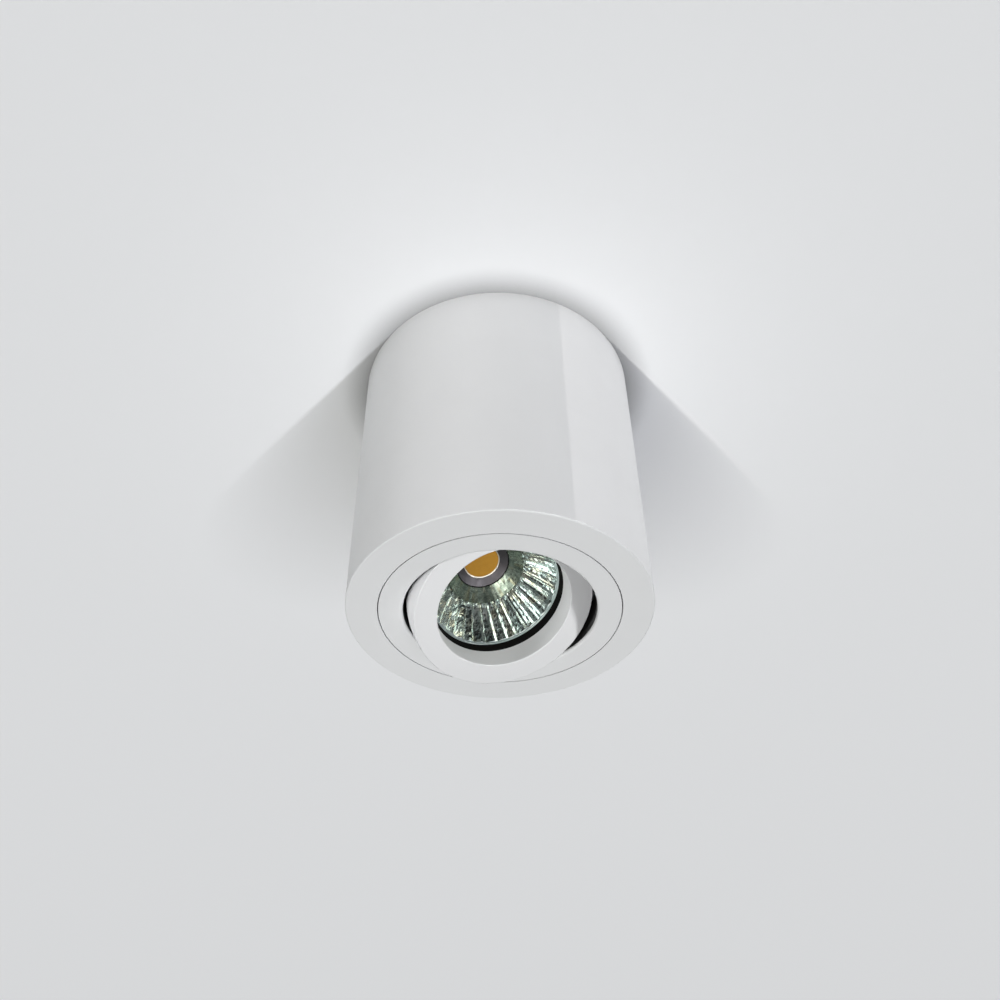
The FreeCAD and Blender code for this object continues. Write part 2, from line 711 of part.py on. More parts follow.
def leaf_springs():
    """Bent steel strips, screwed on the hub, whose feet hold the ring up on the ledge."""
    gauge = S.spring_thickness
    reach = ledge_radius + S.spring_reach
    level = hub_top + gauge
    knee = hub_top - S.spring_knee
    foot = ledge_top + S.spring_bearing_gap
    foot_radius = ledge_radius + S.spring_foot_width
    springs = []
    for number in range(SPRINGS):
        strip = folded("spring_strip", [
            (hub_inside + S.spring_start, hub_top),
            (reach - gauge, hub_top),
            (reach - gauge, knee),
            (foot_radius - gauge, foot),
            (foot_radius, foot),
            (reach, knee),
            (reach, level),
            (hub_inside + S.spring_start, level),
        ], S.spring_width)
        hole = cylinder(S.spring_screw_diameter / 2 + S.thread_clearance, 4 * gauge, x=hub_middle,
                        z=hub_top - gauge)
        springs.append(put(cut(strip, hole), yaw=spring_angle(number)))
    finish(fuse(*springs), "leaf_springs")


def leaf_spring_screws():
    screws = []
    seat = hub_top + S.spring_thickness
    for number in range(SPRINGS):
        shank = cylinder(S.spring_screw_diameter / 2, S.spring_screw_length, x=hub_middle,
                         z=seat - S.spring_screw_length)
        head = cylinder(S.spring_screw_head / 2, S.spring_screw_head_depth, x=hub_middle, z=seat)
        groove = box(2 * S.spring_screw_head, S.slot_cut_width, 2 * S.slot_cut_depth, x=hub_middle,
                     z=seat + S.spring_screw_head_depth - S.slot_cut_depth)
        screws.append(put(cut(fuse(shank, head), groove), yaw=spring_angle(number)))
    finish(fuse(*screws), "leaf_spring_screws")


# ---- tilt ring and what holds the lamp in it ----


def tilt_ring():
    """The visible ring round the lamp: flat in front, rounded about the pivot outside."""
    front = -S.face_offset
    opening = S.opening_diameter / 2
    front_radius = root(ball_radius * ball_radius - S.face_offset * S.face_offset)
    back_radius = root(ball_radius * ball_radius - S.ring_back * S.ring_back)
    groove_radius = clip_radius + S.clip_wire / 2 + S.clip_gap
    groove_half = S.clip_wire / 2 + S.clip_gap
    ring = turned("tilt_blank", [
        (opening, front),
        (front_radius, front, (ball_radius, 1)),
        (back_radius, S.ring_back),
        (lamp_bore, S.ring_back),
        (lamp_bore, clip_middle + groove_half),
        (groove_radius, clip_middle + groove_half),
        (groove_radius, clip_middle - groove_half),
        (lamp_bore, clip_middle - groove_half),
        (lamp_bore, lip_back),
        (opening, lip_back),
    ])
    round_edges(ring, S.ring_edge_round, [(opening, plain(front)), (front_radius, plain(front))])
    grip_end = bush_inside - S.pin_grip
    tools = []
    for side in (90, -90):
        sign = 1 if side > 0 else -1
        tools.append(cylinder(S.pin_diameter / 2 + S.pin_press_gap, ball_radius,
                              x=grip_end * sign, pitch=side))
        tools.append(cylinder(S.bush_diameter / 2 + 3 * S.pin_running_gap, ball_radius,
                              x=bush_inside * sign, pitch=side))
    finish(cut(ring, *tools), "tilt_ring", tilts=True)


def pivot_pins():
    pins = []
    start = bush_inside - S.pin_grip
    for yaw in (0, 180):
        shank = cylinder(S.pin_diameter / 2, pin_shoulder - start, x=start, pitch=90)
        head = cylinder(S.pin_head_diameter / 2, S.pin_head_depth, x=pin_shoulder, pitch=90)
        groove = box(2 * S.slot_cut_depth, 2 * S.pin_head_diameter, S.slot_cut_width, x=pin_head_face,
                     z=-S.slot_cut_width / 2)
        pins.append(put(cut(fuse(shank, head), groove), yaw=yaw))
    finish(fuse(*pins), "pivot_pins", tilts=True)


def pivot_bushes():
    bushes = []
    for yaw in (0, 180):
        sleeve = cylinder(S.bush_diameter / 2, bush_outside - bush_inside, x=bush_inside, pitch=90)
        bore = cylinder(S.pin_diameter / 2 + S.pin_press_gap, bush_outside, x=0, pitch=90)
        bushes.append(put(cut(sleeve, bore), yaw=yaw))
    finish(fuse(*bushes), "pivot_bushes", tilts=True)


def lamp_gasket():
    """The black ring between the lip of the tilt ring and the lamp."""
    inner = S.gasket_inner_diameter / 2
    outer = lamp_bore - S.gasket_clearance
    finish(turned("gasket", [
        (inner + S.gasket_flare, lip_back),
        (outer, lip_back),
        (outer, lamp_rim_face),
        (inner, lamp_rim_face),
    ]), "lamp_gasket", tilts=True)


def lamp_retaining_clip():
    """An open wire ring in the groove behind the lamp's rim."""
    wire = doc.addObject("Part::Torus", "wire")
    bind(wire, "Radius1", clip_radius)
    bind(wire, "Radius2", S.clip_wire / 2)
    bind(wire, "Angle3", 360 - S.clip_opening)
    put(wire, z=clip_middle, yaw=90 + S.clip_opening / 2)
    ends = (90 + S.clip_opening / 2, 90 - S.clip_opening / 2)
    tips = [ball(S.clip_wire / 2, x=clip_radius * cosine(angle), y=clip_radius * sine(angle), z=clip_middle)
            for angle in ends]
    finish(fuse(wire, *tips), "lamp_retaining_clip", tilts=True)


# ---- lamp ----


def lamp_reflector():
    """The pressed glass bowl, with its rim in front and its neck behind."""
    rim = lamp_rim_face
    neck = S.neck_bore / 2
    neck_outside = neck + S.neck_wall
    finish(turned("bowl", [
        (S.bowl_edge_diameter / 2, rim),
        (lamp_radius, rim),
        (lamp_radius, rim + S.lamp_rim),
        (lamp_radius - S.rim_step, rim + S.lamp_rim, (S.glass_curve, 1)),
        (neck_outside, rim + S.neck_start),
        (neck_outside, rim + S.neck_end),
        (neck, rim + S.neck_end),
        (neck, rim + S.neck_depth, (S.bowl_curve, -1)),
        (S.bowl_edge_diameter / 2, rim + S.bowl_edge_depth),
    ]), "lamp_reflector", tilts=True)


def led_emitter():
    radius = S.chip_diameter / 2
    finish(turned("emitter", [
        (0, emitter_face),
        (radius, emitter_face),
        (radius, emitter_back),
        (0, emitter_back),
    ]), "led_emitter", tilts=True)


def led_collar():
    inner = S.chip_diameter / 2 + S.collar_gap
    outer = S.collar_diameter / 2
    finish(turned("collar", [
        (inner, emitter_face),
        (outer, lamp_rim_face + S.collar_depth),
        (outer, emitter_back),
        (inner, emitter_back),
    ]), "led_collar", tilts=True)


def led_board():
    radius = S.collar_diameter / 2
    finish(turned("board", [
        (0, emitter_back),
        (radius, emitter_back),
        (radius, board_back),
        (0, board_back),
    ]), "led_board", tilts=True)


def lamp_heat_sink():
    """The turned plug that carries the emitter's board in the neck."""
    radius = S.sink_diameter / 2
    end = lamp_rim_face + S.sink_end
    finish(turned("sink", [
        (0, board_back),
        (radius, board_back),
        (radius, end),
        (0, end),
    ]), "lamp_heat_sink", tilts=True)


def lamp_driver_board():
    """The round circuit board in the base cap, with its coil and its capacitor."""
    front = lamp_rim_face + S.sink_end + S.driver_gap
    back = front + S.driver_thickness
    disc = cylinder(cap_cavity - S.driver_gap, S.driver_thickness, z=front)
    coil = cylinder(S.coil_diameter / 2, S.coil_diameter / 2, x=S.coil_diameter, z=back - S.driver_gap)
    capacitor = box(S.coil_diameter, S.coil_diameter * 2, S.coil_diameter / 2, x=-S.coil_diameter / 2,
                    z=back - S.driver_gap)
    finish(fuse(disc, coil, capacitor), "lamp_driver_board", tilts=True)


def lamp_base_cap():
    outside = S.cap_diameter / 2
    boss = S.cap_boss_diameter / 2
    rim = lamp_rim_face
    cap = turned("cap", [
        (cap_cavity, rim + S.cap_start),
        (outside - S.cap_lead, rim + S.cap_start),
        (outside, rim + S.cap_start + 4 * S.cap_lead),
        (outside, rim + S.cap_shoulder),
        (boss, rim + S.cap_boss_start),
        (boss, cap_back),
        (0, cap_back),
        (0, rim + S.cap_cavity_end),
        (cap_cavity, rim + S.cap_cavity_end),
    ])
    holes = [cylinder(S.lamp_pin_diameter / 2 + S.pin_press_gap, S.lamp_length,
                      x=S.lamp_pin_spacing / 2 * side, z=rim + S.sink_end) for side in (-1, 1)]
    finish(cut(cap, *holes), "lamp_base_cap", tilts=True)


def lamp_pins():
    start = lamp_rim_face + S.cap_cavity_end
    pins = []
    for side in (-1, 1):
        x = S.lamp_pin_spacing / 2 * side
        neck = cylinder(S.lamp_pin_diameter / 2, pin_head_start - start, x=x, z=start)
        head = cylinder(S.lamp_pin_head / 2, S.lamp_pin_head_depth, x=x, z=pin_head_start)
        pins.append(fuse(neck, head))
    finish(fuse(*pins), "lamp_pins", tilts=True)


# ---- lampholder ----


def holder_outline(depth, z):
    """A round slab with two flats."""
    return common(cylinder(S.holder_diameter / 2, depth, z=z),
                  box(S.holder_diameter, S.holder_width, depth, z=z))


def pin_track(room, depth, z):
    """The room that the two lamp pins sweep between release and lock: two parts of a ring."""
    middle = S.lamp_pin_spacing / 2
    margin = arcsine(room / middle)
    tools = []
    for turn in (0, 180):
        rings = []
        for radius in (middle + room, middle - room):
            disc = cylinder(radius, depth, z=z, yaw=turn - S.twist_angle - margin)
            bind(disc, "Angle", S.twist_angle + 2 * margin)
            rings.append(disc)
        tools.append(cut(*rings))
    return tools


def rivet_places():
    return [(S.rivet_spacing / 2 * side, 0) for side in (-1, 1)]


def lampholder_body():
    """The ceramic block: keyhole slots in front, and a chamber for each pin's head behind them."""
    neck_room = S.lamp_pin_diameter / 2 + S.slot_clearance
    head_room = S.lamp_pin_head / 2 + S.slot_clearance
    block = holder_outline(S.holder_depth, holder_face)
    chamber_start = holder_face + S.holder_front
    tools = pin_track(neck_room, S.holder_depth, holder_face - S.holder_front / 2)
    tools += pin_track(head_room, S.holder_depth, chamber_start)
    middle = S.lamp_pin_spacing / 2
    for turn in (0, 180):
        angle = turn - S.twist_angle
        tools.append(cylinder(S.lamp_pin_head / 2 + S.entry_clearance, S.holder_depth,
                              x=middle * cosine(angle), y=middle * sine(angle),
                              z=holder_face - S.holder_front / 2))
    for x, y in rivet_places():
        tools.append(cylinder(S.rivet_diameter / 2 + S.thread_clearance, 2 * S.holder_depth,
                              x=x, y=y, z=cap_back))
        tools.append(cylinder(S.rivet_head / 2 + S.thread_clearance, S.rivet_head_depth + S.holder_gap,
                              x=x, y=y, z=cap_back))
    finish(cut(block, *tools), "lampholder_body", tilts=True)


def lampholder_cover():
    plate = holder_outline(S.holder_cover, holder_back)
    holes = [cylinder(S.rivet_diameter / 2 + S.thread_clearance, 3 * S.holder_cover, x=x, y=y,
                      z=holder_back - S.holder_cover) for x, y in rivet_places()]
    holes += [cylinder(S.contact_post / 2 + S.thread_clearance, 3 * S.holder_cover,
                       x=S.lamp_pin_spacing / 2 * side, z=holder_back - S.holder_cover) for side in (-1, 1)]
    finish(cut(plate, *holes), "lampholder_cover", tilts=True)


def lampholder_contacts():
    """A round contact behind each pin, with a tail through the cover."""
    start = pin_head_end + S.contact_gap
    contacts = []
    for side in (-1, 1):
        x = S.lamp_pin_spacing / 2 * side
        button = cylinder(S.contact_diameter / 2, S.contact_thickness, x=x, z=start)
        tail = cylinder(S.contact_post / 2, holder_end + S.contact_tail - start, x=x, z=start)
        contacts.append(fuse(button, tail))
    finish(fuse(*contacts), "lampholder_contacts", tilts=True)


def lampholder_rivets():
    rivets = []
    for x, y in rivet_places():
        shank = cylinder(S.rivet_diameter / 2, holder_end - holder_face, x=x, y=y, z=holder_face)
        front = cylinder(S.rivet_head / 2, S.rivet_head_depth, x=x, y=y, z=holder_face)
        back = cylinder(S.rivet_head / 2, S.rivet_head_depth, x=x, y=y, z=holder_end)
        rivets.append(fuse(shank, front, back))
    finish(fuse(*rivets), "lampholder_rivets", tilts=True)


# ---- the whole light ----

housing()
housing_set_screws()
ceiling_bracket()
cable_grommet()
terminal_block()
terminal_inserts()
terminal_clamp_screws()
terminal_fixing_screws()
earth_screw_and_washer()
swivel_ring()
leaf_springs()
leaf_spring_screws()
tilt_ring()
pivot_pins()
pivot_bushes()
lamp_gasket()
lamp_retaining_clip()
lamp_reflector()
led_emitter()
led_collar()
led_board()
lamp_heat_sink()
lamp_driver_board()
lamp_base_cap()
lamp_pins()
lampholder_body()
lampholder_cover()
lampholder_contacts()
lampholder_rivets()

doc.recompute()
for thing in doc.Objects:
    if "Invalid" in thing.State or "Error" in thing.State:
        raise ValueError(f"{thing.Label} is {thing.State}")
for thing in finished:
    if thing.Shape.isNull() or not thing.Shape.isValid() or not thing.Shape.Solids:
        raise ValueError(f"{thing.Label} has no valid solid")
for thing in finished:
    thing.Shape.exportStep(os.path.join("parts", thing.Label + ".step"))
    print(f"{thing.Label}: {len(thing.Shape.Solids)} solids, {thing.Shape.Volume:.0f} mm3")
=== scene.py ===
import json
import math

import bmesh
import bpy
from mathutils import Matrix, Vector


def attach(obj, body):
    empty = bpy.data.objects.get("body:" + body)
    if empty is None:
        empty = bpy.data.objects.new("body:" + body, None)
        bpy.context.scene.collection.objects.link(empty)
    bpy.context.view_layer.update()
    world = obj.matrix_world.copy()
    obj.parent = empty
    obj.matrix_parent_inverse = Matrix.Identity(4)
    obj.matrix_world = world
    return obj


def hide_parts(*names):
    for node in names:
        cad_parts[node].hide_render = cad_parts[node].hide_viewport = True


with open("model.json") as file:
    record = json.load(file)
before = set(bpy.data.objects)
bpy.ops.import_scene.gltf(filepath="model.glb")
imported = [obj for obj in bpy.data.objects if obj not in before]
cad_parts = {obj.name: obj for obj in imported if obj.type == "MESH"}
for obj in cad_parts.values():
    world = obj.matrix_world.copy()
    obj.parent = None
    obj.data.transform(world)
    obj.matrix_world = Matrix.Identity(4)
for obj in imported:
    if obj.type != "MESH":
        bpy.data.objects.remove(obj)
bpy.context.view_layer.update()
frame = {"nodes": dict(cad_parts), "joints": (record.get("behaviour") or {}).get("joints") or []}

# The looks of a surface mounted ceiling spotlight: a painted round housing with a lamp that swivels and
# tilts in it. Metres. Z = 0 is the ceiling, the light hangs below it, and the photograph's viewer is at -Y.

bl_info = {
    "name": "Ceiling spotlight",
    "version": (1, 0, 0),
    "blender": (4, 5, 0),
    "location": "3D View > Sidebar > Spotlight",
    "description": "Finishes, reflector and studio of a surface mounted ceiling spotlight",
    "category": "Object",
}

MM = 0.001
NODES = frame["nodes"]
JOINTS = {joint["name"]: joint for joint in frame["joints"]}

# The lamp's own frame: its middle is the tilt pivot, Z runs to the lamp's back and X along the tilt axis.
PIVOT = Vector(JOINTS["tilt"]["pos_m"])
TILT_AXIS = Vector(JOINTS["tilt"]["axis"]).normalized()
LAMP_BACK = Vector(JOINTS["lampholder_twist"]["axis"]).normalized()
LAMP_FRAME = Matrix.Translation(PIVOT) @ Matrix(
    (TILT_AXIS, LAMP_BACK.cross(TILT_AXIS), LAMP_BACK)).transposed().to_4x4()


# ---- settings that a user would change ----


def colour_setting(name, description, hex_value):
    return bpy.props.FloatVectorProperty(name=name, description=description, subtype="COLOR", size=3, min=0.0,
                                         max=1.0, default=linear(hex_value)[:3])


def length_setting(name, description, metres):
    return bpy.props.FloatProperty(name=name, description=description, default=metres, subtype="DISTANCE",
                                   unit="LENGTH", precision=5, min=0.0)


def linear(hex_value):
    """An sRGB hex colour as linear RGBA."""
    parts = [int(hex_value[place:place + 2], 16) / 255 for place in (1, 3, 5)]
    return tuple(part / 12.92 if part <= 0.04045 else ((part + 0.055) / 1.055) ** 2.4
                 for part in parts) + (1.0,)


class PaintSettings(bpy.types.PropertyGroup):
    """The white paint of the housing and its two rings."""
    colour: colour_setting("Paint", "Powder coat of the housing and its two rings", "#DCDDDE")
    grain: length_setting("Grain", "Size of one bump of the powder coat", 0.45 * MM)


class ReflectorSettings(bpy.types.PropertyGroup):
    """The pleated mirror of the lamp."""
    pleats: bpy.props.IntProperty(name="Pleats", description="Radial pleats round the reflector", default=34,
                                  min=12, max=90)
    depth: length_setting("Pleat depth", "Ridge to groove of a pleat at the rim", 0.85 * MM)
    tint: colour_setting("Coating", "Mirror coating of the reflector", "#B9C0BC")


class LampSettings(bpy.types.PropertyGroup):
    """The yellow emitter of the lamp."""
    phosphor: colour_setting("Phosphor", "Yellow layer over the emitter", "#9B6F20")


class StudioSettings(bpy.types.PropertyGroup):
    """The ceiling, the lamps and the camera."""
    ceiling: colour_setting("Ceiling", "Paint of the ceiling", "#E6E7E9")
    ceiling_size: length_setting("Ceiling size", "Side of the square of ceiling", 6.0)
    key_level: bpy.props.FloatProperty(name="Key lamps", default=0.53, min=0.0,
                                       description="What each tall lamp adds to a white face")


# ---- shared ways of making a material ----


def add_node(tree, kind, settings=None, **links):
    """Adds one shader node. A setting names a property or an input; a link gives an input its source."""
    node = tree.nodes.new(kind)
    for name, value in (settings or {}).items():
        if isinstance(name, str) and hasattr(node, name):
            setattr(node, name, value)
        else:
            node.inputs[name].default_value = value
    for name, source in links.items():
        place = int(name[1:]) if name[0] == "_" and name[1:].isdigit() else name.replace("_", " ")
        tree.links.new(source, node.inputs[place])
    return node


def new_material(name, **shader):
    """A material with its main shader, whose inputs are given by name. Returns (material, tree, shader)."""
    material = bpy.data.materials.new(name)
    material.use_nodes = True
    tree = material.node_tree
    tree.nodes.clear()
    surface = add_node(tree, "ShaderNodeBsdfPrincipled", {key.replace("_", " "): value
                                                         for key, value in shader.items()})
    output = add_node(tree, "ShaderNodeOutputMaterial")
    tree.links.new(surface.outputs["BSDF"], output.inputs["Surface"])
    return material, tree, surface


def place_of(tree):
    """The place on the object, in metres."""
    return add_node(tree, "ShaderNodeTexCoord").outputs["Object"]


def speckle(tree, size, detail=2.0, roughness=0.5):
    """Even noise whose bumps are about size metres across, from 0 to 1."""
    settings = {"Scale": 1.0 / size, "Detail": detail, "Roughness": roughness}
    return add_node(tree, "ShaderNodeTexNoise", settings, Vector=place_of(tree)).outputs["Fac"]


def span(tree, value, low, high, start=0.0, end=1.0):
    """Maps a value from start..end to low..high."""
    return add_node(tree, "ShaderNodeMapRange", {"From Min": start, "From Max": end, "To Min": low,
                                                 "To Max": high}, Value=value).outputs["Result"]


def feed(tree, socket, value):
    """Gives an input a plain value, or what another node gives."""
    if isinstance(value, bpy.types.NodeSocket):
        tree.links.new(value, socket)
    else:
        socket.default_value = value


def between(tree, factor, first, second, blend="MIX"):
    """A colour from first to second, as factor goes from 0 to 1."""
    mixed = add_node(tree, "ShaderNodeMix", {"data_type": "RGBA", "blend_type": blend})
    for place, value in ((0, factor), (6, first), (7, second)):
        feed(tree, mixed.inputs[place], value)
    return mixed.outputs[2]


def bump(tree, surface, height, depth):
    """Bumps of depth metres from a height of 0 to 1."""
    node = add_node(tree, "ShaderNodeBump", {"Strength": 1.0, "Distance": depth}, Height=height)
    tree.links.new(node.outputs["Normal"], surface.inputs["Normal"])


def math_node(tree, operation, first, second=None):
    """Arithmetic on values or numbers."""
    node = add_node(tree, "ShaderNodeMath", {"operation": operation})
    feed(tree, node.inputs[0], first)
    if second is not None:
        feed(tree, node.inputs[1], second)
    return node.outputs[0]


def off_axis(tree, spot):
    """How far a place is from the Z axis. The place is given as its separate X, Y and Z."""
    squares = [math_node(tree, "MULTIPLY", spot[side], spot[side]) for side in ("X", "Y")]
    return math_node(tree, "SQRT", math_node(tree, "ADD", *squares))


def wear(tree, surface, plain, worn, size, low, high):
    """Uneven colour and gloss, in patches of about size metres."""
    patches = speckle(tree, size, 4.0, 0.6)
    tree.links.new(between(tree, patches, plain, worn), surface.inputs["Base Color"])
    tree.links.new(span(tree, patches, low, high, 0.3, 0.7), surface.inputs["Roughness"])


def dress(material, *names):
    """Puts a material in the slot of CAD nodes."""
    for name in names:
        slots = NODES[name].material_slots
        if not slots:
            NODES[name].data.materials.append(material)
        for slot in slots:
            slot.material = material


# ---- materials ----

# The powder coat's patches of shade and of gloss, how dark the shade is, and the depth of its orange peel.
SHADE_PATCH = 14 * MM
GLOSS_PATCH = 6 * MM
PAINT_SHADE = 0.965
PEEL_DEPTH = 0.012 * MM
# Painted shade inside the swivel ring's hub, coloured near black: nearer the axis than its wall and above its
# flat lower face.
SHADED_HUB_RADIUS = 34.6 * MM
SHADED_HUB_START = -108.9 * MM
# Painted highlight: the collar's inner edge, next to the emitter, is paler within this radius.
COLLAR_HIGHLIGHT_RADIUS = 6.68 * MM


def white_powder_coat(settings, shaded_hub=False):
    """Polyester powder coat, sprayed and baked: an even satin white with fine shallow orange peel. The inside
    of the swivel ring's hub can be coloured near black, as painted shade that darkens the gaps into the
    housing."""
    material, tree, surface = new_material("white_powder_coat", Metallic=0.0, IOR=1.5, Roughness=0.5)
    colour = tuple(settings.colour) + (1.0,)
    shade = tuple(part * PAINT_SHADE for part in settings.colour) + (1.0,)
    paint = between(tree, speckle(tree, SHADE_PATCH, 3.0), colour, shade)
    # Painted shade: near black in the hub's inside, where the housing is in shade.
    if shaded_hub:
        spot = add_node(tree, "ShaderNodeSeparateXYZ", Vector=place_of(tree)).outputs
        inside = math_node(tree, "MULTIPLY", math_node(tree, "LESS_THAN", off_axis(tree, spot), SHADED_HUB_RADIUS),
                           math_node(tree, "GREATER_THAN", spot["Z"], SHADED_HUB_START))
        paint = between(tree, inside, paint, linear("#0B0B0C"))
    tree.links.new(paint, surface.inputs["Base Color"])
    tree.links.new(span(tree, speckle(tree, GLOSS_PATCH), 0.44, 0.56), surface.inputs["Roughness"])
    bump(tree, surface, speckle(tree, settings.grain), PEEL_DEPTH)
    return material


def black_silicone(name="black_silicone", hex_value="#070606"):
    """Moulded silicone rubber: near black and matt, with faint dust and mould texture."""
    material, tree, surface = new_material(name, Metallic=0.0, IOR=1.41, Specular_IOR_Level=0.12)
    wear(tree, surface, linear(hex_value), linear("#0B0A0A"), 3 * MM, 0.6, 0.8)
    bump(tree, surface, speckle(tree, 0.25 * MM), 0.01 * MM)
    return material


def metal(name, hex_value, worn_hex, low, high):
    """A bare or plated metal, with the fine marks of its making and uneven gloss from handling."""
    material, tree, surface = new_material(name, Metallic=1.0)
    wear(tree, surface, linear(hex_value), linear(worn_hex), 4 * MM, low, high)
    bump(tree, surface, speckle(tree, 0.2 * MM, 3.0), 0.004 * MM)
    return material


def moulded(name, hex_value, worn_hex, ior=1.53, low=0.35, high=0.5, grain=0.3 * MM, depth=0.006 * MM):
    """A moulded plastic, with the slight grain of its mould."""
    material, tree, surface = new_material(name, Metallic=0.0, IOR=ior)
    wear(tree, surface, linear(hex_value), linear(worn_hex), 5 * MM, low, high)
    bump(tree, surface, speckle(tree, grain), depth)
    return material


def turned_metal(name, hex_value, worn_hex, pitch, low, high, edge=0.0):
    """Metal turned on a lathe: fine rings round its axis, which draw its gloss out across them. Inside the
    edge's radius a paler colour is a painted highlight."""
    material, tree, surface = new_material(name, Metallic=1.0)
    wear(tree, surface, linear(hex_value), linear(worn_hex), 3 * MM, low, high)
    across = off_axis(tree, add_node(tree, "ShaderNodeSeparateXYZ", Vector=lamp_place(tree)).outputs)
    wave = math_node(tree, "SINE", math_node(tree, "MULTIPLY", across, 2 * math.pi / pitch))
    bump(tree, surface, wave, 0.004 * MM)
    # Painted highlight: a paler colour inside the edge's radius stands in for shine.
    if edge:
        plain = surface.inputs["Base Color"].links[0].from_socket
        painted_highlight = between(tree, math_node(tree, "LESS_THAN", across, edge), plain, linear("#CFCBC0"))
        tree.links.new(painted_highlight, surface.inputs["Base Color"])
    return material


def lamp_place(tree):
    """The place in the lamp's own frame, for a CAD node drawn at its tilted place."""
    back = LAMP_FRAME.inverted()
    turn = back.to_euler("XYZ")
    node = add_node(tree, "ShaderNodeMapping", {"vector_type": "POINT", "Location": back.translation,
                                                "Rotation": turn}, Vector=place_of(tree))
    return node.outputs["Vector"]


# ---- reflector ----

# The bowl's inside is an arc through the neck's end and the front edge, in the lamp's frame: (radius, depth).
BOWL_CENTRE = (-26.951 * MM, -20.658 * MM)
BOWL_RADIUS = 56.5 * MM
BOWL_NECK = math.radians(49.29)
BOWL_EDGE = math.radians(27.20)
RIM_FACE = 4.82 * MM
RIM_RADIUS = 25.0 * MM
RIM_BACK = RIM_FACE + 2.6 * MM
GLASS_RADIUS = 60.0 * MM
GLASS_EDGE = (23.9 * MM, RIM_BACK)
GLASS_NECK = (12.2 * MM, RIM_FACE + 19.8 * MM)
NECK_BORE = 9.9 * MM
NECK_END = RIM_FACE + 26.2 * MM

RIM_ROUND = 0.3 * MM
BACK_ROUND = 0.2 * MM
BEAD_OUTSIDE = 23.6 * MM
BACK_STEPS = 10

# The glass is plain near the neck and pleated further out. A pleat falls slowly to one side and rises steeply
# again, and near the neck it is only NECK_DEPTH as deep as at the edge. Pressed glass is never quite even.
PLEAT_PROFILE = (1.0, 0.7, 0.35, 0.0, 0.42)
PLEAT_START = 0.25
PLEAT_FULL = 0.33
PLEAT_END = 0.955
NECK_DEPTH = 0.55
PLAIN_ROWS = 5
PLEAT_ROWS = 14
UNEVEN_PLEAT = 0.04 * MM
UNEVEN_ROW = 0.01 * MM
UNEVEN_PLAIN = 0.03 * MM
SWAY = 0.08

# The pleats end short of the edge, at a groove with a smooth bead outside it: (along, raised inward).
RIM_BEAD = ((0.962, -0.15 * MM), (0.968, 0.1 * MM), (0.976, 0.32 * MM), (0.986, 0.38 * MM), (0.995, 0.3 * MM),
            (1.0, 0.1 * MM))


def shake(*numbers):
    """A repeatable number from -1 to 1 for whole numbers."""
    seed = 17.0
    for number in numbers:
        seed = math.sin(seed * 12.9898 + number * 78.233) * 43758.5453
        seed -= math.floor(seed)
    return 2 * seed - 1


def bowl_point(along, angle, inward):
    """A point on the bowl, along from 0 at the neck to 1 at the edge, raised inward off the glass."""
    slope = BOWL_NECK + (BOWL_EDGE - BOWL_NECK) * along
    reach = BOWL_RADIUS - inward
    radius = BOWL_CENTRE[0] + reach * math.cos(slope)
    depth = BOWL_CENTRE[1] + reach * math.sin(slope)
    return Vector((radius * math.cos(angle), radius * math.sin(angle), depth))


def arc_points(start, end, radius, count):
    """Points of the glass's outside, which bulges away from the lamp's axis and front."""
    start, end = Vector(start), Vector(end)
    middle, across = (start + end) / 2, end - start
    left = Vector((-across.y, across.x)).normalized()
    centre = middle + left * math.sqrt(radius ** 2 - (across.length / 2) ** 2)
    first, last = start - centre, end - centre
    turn = first.angle_signed(last)
    points = []
    for place in range(count + 1):
        step = Matrix.Rotation(-turn * place / count, 2) @ first
        points.append(centre + step)
    return points


def ring_strip(mesh, lower, upper, smooth=False):
    """Quads between two closed rings of equal count."""
    count = len(lower)
    for place in range(count):
        after = (place + 1) % count
        face = mesh.faces.new((lower[place], lower[after], upper[after], upper[place]))
        face.smooth = smooth


def pleat_height(depth, row, column, along):
    """How far the glass stands off the plain bowl."""
    grown = max(0.0, min(1.0, (along - PLEAT_START) / (PLEAT_FULL - PLEAT_START)))
    deep = depth * grown * (NECK_DEPTH + (1 - NECK_DEPTH) * along)
    height = PLEAT_PROFILE[column % len(PLEAT_PROFILE)] * deep
    height += UNEVEN_PLEAT * shake(column, 5) * grown
    height += (UNEVEN_ROW if grown else UNEVEN_PLAIN) * shake(row, column // 2)
    return height, SWAY * shake(column, row, 3) * grown


def glass_outline():
    """The glass from the bead over the flat rim and the back to the neck, as (radius, depth)."""
    beads = [bowl_point(along, 0.0, inward) for along, inward in RIM_BEAD]
    outline = [(point.x, point.z) for point in beads]
    outline += [(BEAD_OUTSIDE, RIM_FACE), (RIM_RADIUS - RIM_ROUND, RIM_FACE),
                (RIM_RADIUS, RIM_FACE + RIM_ROUND), (RIM_RADIUS, RIM_BACK - BACK_ROUND),
                (RIM_RADIUS - BACK_ROUND, RIM_BACK)]
    outline += [tuple(point) for point in arc_points(GLASS_EDGE, GLASS_NECK, GLASS_RADIUS, BACK_STEPS)]
    return outline + [(GLASS_NECK[0], NECK_END), (NECK_BORE, NECK_END)]


